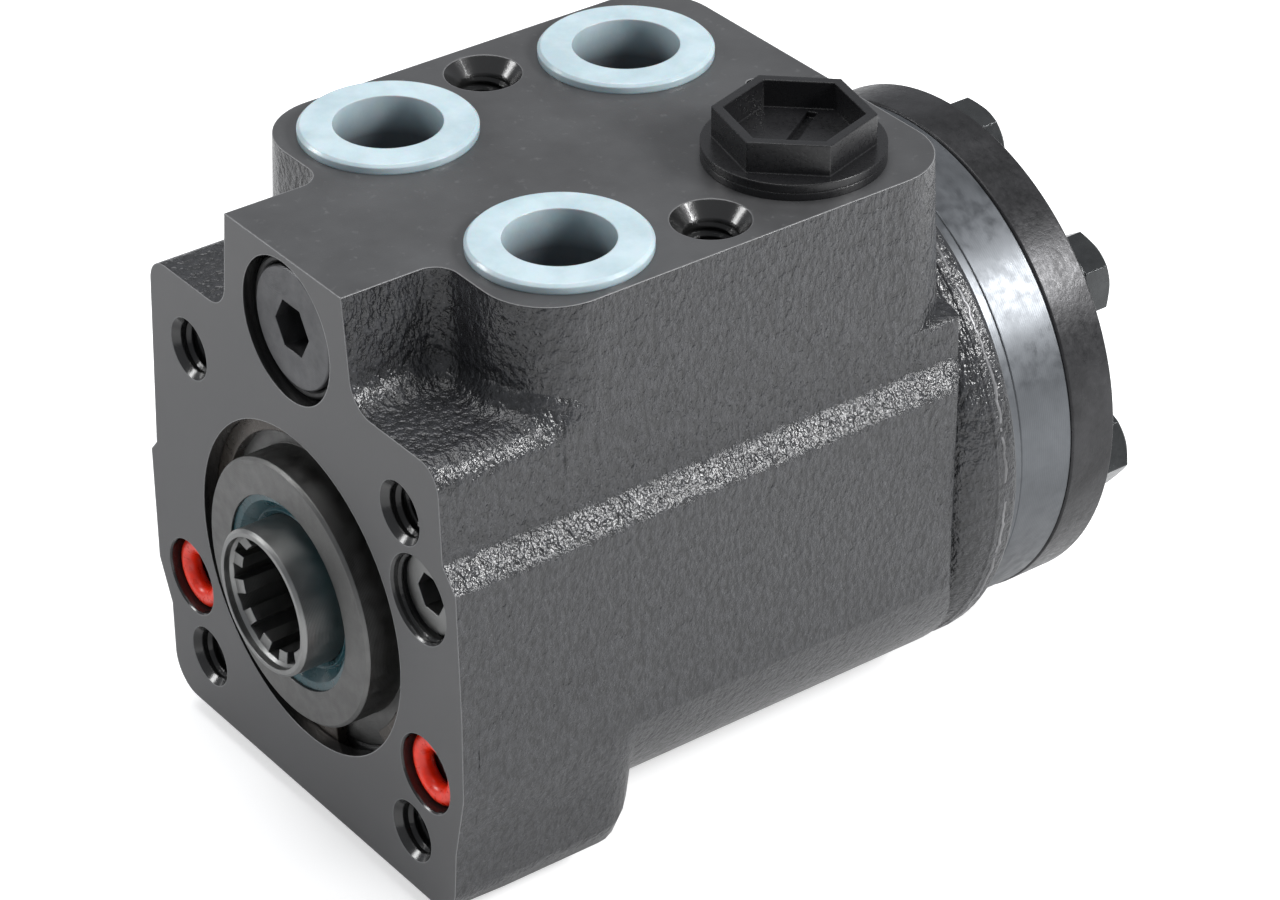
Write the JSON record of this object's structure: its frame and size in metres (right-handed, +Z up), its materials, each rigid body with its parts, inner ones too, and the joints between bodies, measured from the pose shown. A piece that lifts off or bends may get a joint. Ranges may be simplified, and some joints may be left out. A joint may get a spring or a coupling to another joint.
{
  "type": "orbital steering unit",
  "caption": "Orbital hydraulic steering unit: cast valve housing with a splined input spool, ports on top, relief and shock valves in front, and a bolted gear set with end cover behind.",
  "frame": {"origin": "where the input shaft's axis meets the front mounting face, which is also the centre of the column bolt circle", "axes": "+X to the right seen from the front, +Y rearwards along the shaft axis, +Z up to the port face"},
  "size_m": [0.0918, 0.1434, 0.1108],
  "materials": {
    "cast_housing": "phosphated machined faces, rough cast sides",
    "ground_steel": "ground",
    "dark_steel": "black phosphated",
    "bright_steel": "ground bright",
    "gland_steel": "turned",
    "zinc_bolt": "zinc plated",
    "spring_steel": "oiled",
    "bronze_cage": "plain",
    "black_rubber": "matt",
    "red_rubber": "gloss",
    "teal_seal": "satin",
    "clear_plastic": "milky, slightly see-through",
    "black_plastic": "satin"
  },
  "bodies": {
    "housing": {"housing": "cast_housing", "gland_bushing": "gland_steel", "gland_o_ring": "black_rubber", "dust_seal": "teal_seal", "shaft_seal": "black_rubber", "retaining_ring": "spring_steel", "front_race": "ground_steel", "distributor_plate": "bright_steel", "gear_ring": "bright_steel", "end_cover": "dark_steel", "bolt_washers": "zinc_bolt", "cover_bolts": "zinc_bolt", "housing_o_ring": "black_rubber", "plate_o_ring": "black_rubber", "cover_o_ring": "black_rubber", "relief_plug": "gland_steel", "relief_seal": "black_rubber", "relief_seat": "ground_steel", "relief_spring": "spring_steel", "check_bush": "ground_steel", "port_cap_front_left": "clear_plastic", "port_cap_front_right": "clear_plastic", "port_cap_rear_left": "clear_plastic", "hex_plug_washer": "black_plastic", "hex_port_plug": "black_plastic", "left_shock_screw": "ground_steel", "left_shock_seal": "red_rubber", "left_shock_spring": "spring_steel", "right_shock_screw": "ground_steel", "right_shock_seal": "red_rubber", "right_shock_spring": "spring_steel"},
    "sleeve": {"control_sleeve": "ground_steel", "cross_pin": "ground_steel", "spring_ring": "spring_steel", "centring_springs": "spring_steel", "rear_race": "ground_steel"},
    "spool": {"control_spool": "ground_steel"},
    "bearing_cage": {"needle_cage": "bronze_cage", "needles": "ground_steel"},
    "spacer": {"drive_spacer": "ground_steel"},
    "rotor": {"rotor": "bright_steel"},
    "drive_shaft": {"drive_shaft": "dark_steel"},
    "relief_poppet": {"relief_poppet": "ground_steel"},
    "left_shock_ball": {"left_shock_ball": "bright_steel"},
    "right_shock_ball": {"right_shock_ball": "bright_steel"},
    "check_ball": {"check_ball": "bright_steel"}
  },
  "joints": [
    {"name": "sleeve_turn", "type": "hinge", "parent": "housing", "child": "sleeve", "pos_m": [0, 0, 0], "axis": [0, 1, 0], "continuous": true},
    {"name": "spool_deflect", "type": "hinge", "parent": "sleeve", "child": "spool", "pos_m": [0, 0, 0], "axis": [0, 1, 0], "range_deg": [-8, 8], "stiffness_Nm_per_rad": 4, "deforming": ["centring_springs"]},
    {"name": "bearing_cage_turn", "type": "hinge", "parent": "housing", "child": "bearing_cage", "pos_m": [0, 0.0136, 0], "axis": [0, 1, 0], "continuous": true},
    {"name": "rotor_orbit", "type": "hinge", "parent": "housing", "child": "spacer", "pos_m": [0, 0.1152, 0], "axis": [0, 1, 0], "continuous": true},
    {"name": "rotor_spin", "type": "hinge", "parent": "spacer", "child": "rotor", "pos_m": [0, 0.1152, 0.0029], "axis": [0, 1, 0], "continuous": true},
    {"name": "drive_shaft_spin", "type": "hinge", "parent": "spacer", "child": "drive_shaft", "pos_m": [0, 0.1152, 0.0029], "axis": [0, 0.9994, 0.0357], "continuous": true},
    {"name": "relief_lift", "type": "slide", "parent": "housing", "child": "relief_poppet", "axis": [0, -1, 0], "range_m": [0, 0.002], "stiffness_N_per_m": 400, "springref_m": -0.001, "deforming": ["relief_spring"]},
    {"name": "left_shock_lift", "type": "slide", "parent": "housing", "child": "left_shock_ball", "axis": [0, -1, 0], "range_m": [0, 0.0015], "stiffness_N_per_m": 150, "springref_m": -0.001, "deforming": ["left_shock_spring"]},
    {"name": "right_shock_lift", "type": "slide", "parent": "housing", "child": "right_shock_ball", "axis": [0, -1, 0], "range_m": [0, 0.0015], "stiffness_N_per_m": 150, "springref_m": -0.001, "deforming": ["right_shock_spring"]},
    {"name": "check_ball_travel", "type": "slide", "parent": "housing", "child": "check_ball", "axis": [0, -1, 0], "range_m": [0, 0.003]}
  ],
  "couplings": [
    {"joint": "bearing_cage_turn", "follows": "sleeve_turn", "ratio": 0.5},
    {"joint": "rotor_orbit", "follows": "sleeve_turn", "ratio": -6},
    {"joint": "rotor_spin", "follows": "sleeve_turn", "ratio": 7},
    {"joint": "drive_shaft_spin", "follows": "sleeve_turn", "ratio": 7}
  ]
}
